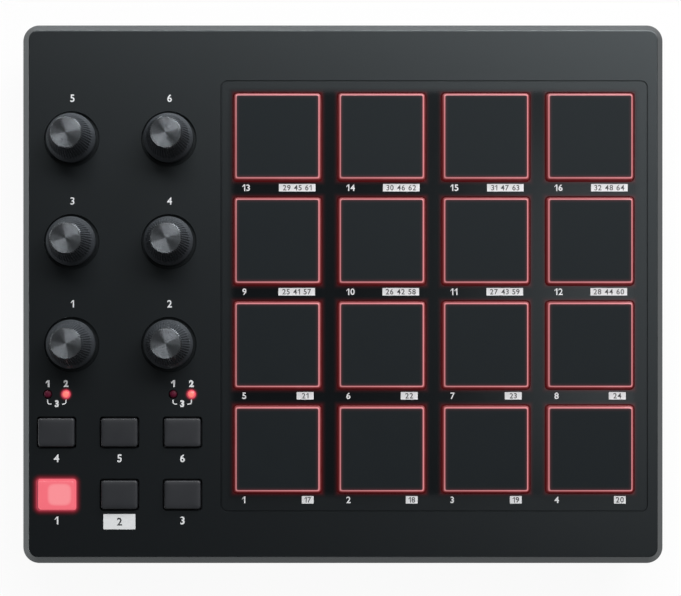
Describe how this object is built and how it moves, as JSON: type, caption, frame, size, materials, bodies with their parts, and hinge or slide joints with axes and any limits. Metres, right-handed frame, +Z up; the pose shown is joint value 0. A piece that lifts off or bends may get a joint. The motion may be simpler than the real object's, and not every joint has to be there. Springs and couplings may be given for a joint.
{
  "type": "midi pad controller",
  "caption": "Flat desktop music controller: a square grid of lit drum pads on the right, a block of endless knobs with small buttons and indicator lamps on the left.",
  "frame": {"origin": "on the table, under the middle of the case", "axes": "+X to the player's right, along the case's width; +Y away from the player, to the rear face with the socket; +Z up out of the panel"},
  "size_m": [0.239, 0.201, 0.041],
  "materials": {
    "case_plastic": "fine-grained, slightly sheeny black moulded plastic",
    "pad_silicone": "smooth black silicone pad whose thin sides let red light through",
    "button_silicone": "satin dark silicone",
    "mat_silicone": "plain grey silicone",
    "knob_plastic": "dark satin knob with a brushed grey top",
    "encoder_metal": "plated sheet steel",
    "steel": "plated steel",
    "screw_steel": "blackened steel",
    "circuit_board": "green laminate with pale tracks",
    "sensor_film": "amber film",
    "lamp_lens": null,
    "small_lamp": "small surface-mounted lamps",
    "chip_plastic": "moulded black",
    "ribbon": "grey flat cable",
    "foot_rubber": "soft black rubber"
  },
  "bodies": {
    "case": {"top_case": "case_plastic", "bottom_case": "case_plastic", "encoder_body_1": "encoder_metal", "encoder_body_2": "encoder_metal", "encoder_body_3": "encoder_metal", "encoder_body_4": "encoder_metal", "encoder_body_5": "encoder_metal", "encoder_body_6": "encoder_metal", "keypad_mat": "mat_silicone", "control_board": "circuit_board", "pad_board": "circuit_board", "main_board": "circuit_board", "pad_sensor_film": "sensor_film", "bank_lamps": "lamp_lens", "backlight_lamps": "small_lamp", "usb_socket": "steel", "lock_slot_plate": "steel", "processor_chip": "chip_plastic", "pad_ribbon": "ribbon", "control_ribbon": "ribbon", "foot_front_left": "foot_rubber", "foot_rear_left": "foot_rubber", "foot_front_right": "foot_rubber", "foot_rear_right": "foot_rubber", "case_screws": "screw_steel", "board_screws": "screw_steel"},
    "pad_01": {"pad_01": "pad_silicone"},
    "pad_02": {"pad_02": "pad_silicone"},
    "pad_03": {"pad_03": "pad_silicone"},
    "pad_04": {"pad_04": "pad_silicone"},
    "pad_05": {"pad_05": "pad_silicone"},
    "pad_06": {"pad_06": "pad_silicone"},
    "pad_07": {"pad_07": "pad_silicone"},
    "pad_08": {"pad_08": "pad_silicone"},
    "pad_09": {"pad_09": "pad_silicone"},
    "pad_10": {"pad_10": "pad_silicone"},
    "pad_11": {"pad_11": "pad_silicone"},
    "pad_12": {"pad_12": "pad_silicone"},
    "pad_13": {"pad_13": "pad_silicone"},
    "pad_14": {"pad_14": "pad_silicone"},
    "pad_15": {"pad_15": "pad_silicone"},
    "pad_16": {"pad_16": "pad_silicone"},
    "button_1": {"button_1": "button_silicone"},
    "button_2": {"button_2": "button_silicone"},
    "button_3": {"button_3": "button_silicone"},
    "button_4": {"button_4": "button_silicone"},
    "button_5": {"button_5": "button_silicone"},
    "button_6": {"button_6": "button_silicone"},
    "knob_1": {"knob_1": "knob_plastic", "encoder_shaft_1": "steel"},
    "knob_2": {"knob_2": "knob_plastic", "encoder_shaft_2": "steel"},
    "knob_3": {"knob_3": "knob_plastic", "encoder_shaft_3": "steel"},
    "knob_4": {"knob_4": "knob_plastic", "encoder_shaft_4": "steel"},
    "knob_5": {"knob_5": "knob_plastic", "encoder_shaft_5": "steel"},
    "knob_6": {"knob_6": "knob_plastic", "encoder_shaft_6": "steel"}
  },
  "joints": [
    {"name": "pad_01_press", "type": "slide", "parent": "case", "child": "pad_01", "axis": [0, 0, -1], "range_m": [0, 0.0008], "stiffness_N_per_m": 2500, "springref_m": -0.0002},
    {"name": "pad_02_press", "type": "slide", "parent": "case", "child": "pad_02", "axis": [0, 0, -1], "range_m": [0, 0.0008], "stiffness_N_per_m": 2500, "springref_m": -0.0002},
    {"name": "pad_03_press", "type": "slide", "parent": "case", "child": "pad_03", "axis": [0, 0, -1], "range_m": [0, 0.0008], "stiffness_N_per_m": 2500, "springref_m": -0.0002},
    {"name": "pad_04_press", "type": "slide", "parent": "case", "child": "pad_04", "axis": [0, 0, -1], "range_m": [0, 0.0008], "stiffness_N_per_m": 2500, "springref_m": -0.0002},
    {"name": "pad_05_press", "type": "slide", "parent": "case", "child": "pad_05", "axis": [0, 0, -1], "range_m": [0, 0.0008], "stiffness_N_per_m": 2500, "springref_m": -0.0002},
    {"name": "pad_06_press", "type": "slide", "parent": "case", "child": "pad_06", "axis": [0, 0, -1], "range_m": [0, 0.0008], "stiffness_N_per_m": 2500, "springref_m": -0.0002},
    {"name": "pad_07_press", "type": "slide", "parent": "case", "child": "pad_07", "axis": [0, 0, -1], "range_m": [0, 0.0008], "stiffness_N_per_m": 2500, "springref_m": -0.0002},
    {"name": "pad_08_press", "type": "slide", "parent": "case", "child": "pad_08", "axis": [0, 0, -1], "range_m": [0, 0.0008], "stiffness_N_per_m": 2500, "springref_m": -0.0002},
    {"name": "pad_09_press", "type": "slide", "parent": "case", "child": "pad_09", "axis": [0, 0, -1], "range_m": [0, 0.0008], "stiffness_N_per_m": 2500, "springref_m": -0.0002},
    {"name": "pad_10_press", "type": "slide", "parent": "case", "child": "pad_10", "axis": [0, 0, -1], "range_m": [0, 0.0008], "stiffness_N_per_m": 2500, "springref_m": -0.0002},
    {"name": "pad_11_press", "type": "slide", "parent": "case", "child": "pad_11", "axis": [0, 0, -1], "range_m": [0, 0.0008], "stiffness_N_per_m": 2500, "springref_m": -0.0002},
    {"name": "pad_12_press", "type": "slide", "parent": "case", "child": "pad_12", "axis": [0, 0, -1], "range_m": [0, 0.0008], "stiffness_N_per_m": 2500, "springref_m": -0.0002},
    {"name": "pad_13_press", "type": "slide", "parent": "case", "child": "pad_13", "axis": [0, 0, -1], "range_m": [0, 0.0008], "stiffness_N_per_m": 2500, "springref_m": -0.0002},
    {"name": "pad_14_press", "type": "slide", "parent": "case", "child": "pad_14", "axis": [0, 0, -1], "range_m": [0, 0.0008], "stiffness_N_per_m": 2500, "springref_m": -0.0002},
    {"name": "pad_15_press", "type": "slide", "parent": "case", "child": "pad_15", "axis": [0, 0, -1], "range_m": [0, 0.0008], "stiffness_N_per_m": 2500, "springref_m": -0.0002},
    {"name": "pad_16_press", "type": "slide", "parent": "case", "child": "pad_16", "axis": [0, 0, -1], "range_m": [0, 0.0008], "stiffness_N_per_m": 2500, "springref_m": -0.0002},
    {"name": "button_1_press", "type": "slide", "parent": "case", "child": "button_1", "axis": [0, 0, -1], "range_m": [0, 0.0008], "stiffness_N_per_m": 1200, "springref_m": -0.0003},
    {"name": "button_2_press", "type": "slide", "parent": "case", "child": "button_2", "axis": [0, 0, -1], "range_m": [0, 0.0008], "stiffness_N_per_m": 1200, "springref_m": -0.0003},
    {"name": "button_3_press", "type": "slide", "parent": "case", "child": "button_3", "axis": [0, 0, -1], "range_m": [0, 0.0008], "stiffness_N_per_m": 1200, "springref_m": -0.0003},
    {"name": "button_4_press", "type": "slide", "parent": "case", "child": "button_4", "axis": [0, 0, -1], "range_m": [0, 0.0008], "stiffness_N_per_m": 1200, "springref_m": -0.0003},
    {"name": "button_5_press", "type": "slide", "parent": "case", "child": "button_5", "axis": [0, 0, -1], "range_m": [0, 0.0008], "stiffness_N_per_m": 1200, "springref_m": -0.0003},
    {"name": "button_6_press", "type": "slide", "parent": "case", "child": "button_6", "axis": [0, 0, -1], "range_m": [0, 0.0008], "stiffness_N_per_m": 1200, "springref_m": -0.0003},
    {"name": "knob_1_turn", "type": "hinge", "parent": "case", "child": "knob_1", "pos_m": [-0.10085, -0.01885, 0.0335], "axis": [0, 0, 1], "continuous": true},
    {"name": "knob_2_turn", "type": "hinge", "parent": "case", "child": "knob_2", "pos_m": [-0.06475, -0.01885, 0.0335], "axis": [0, 0, 1], "continuous": true},
    {"name": "knob_3_turn", "type": "hinge", "parent": "case", "child": "knob_3", "pos_m": [-0.10085, 0.01935, 0.0335], "axis": [0, 0, 1], "continuous": true},
    {"name": "knob_4_turn", "type": "hinge", "parent": "case", "child": "knob_4", "pos_m": [-0.06475, 0.01935, 0.0335], "axis": [0, 0, 1], "continuous": true},
    {"name": "knob_5_turn", "type": "hinge", "parent": "case", "child": "knob_5", "pos_m": [-0.10085, 0.05755, 0.0335], "axis": [0, 0, 1], "continuous": true},
    {"name": "knob_6_turn", "type": "hinge", "parent": "case", "child": "knob_6", "pos_m": [-0.06475, 0.05755, 0.0335], "axis": [0, 0, 1], "continuous": true}
  ]
}
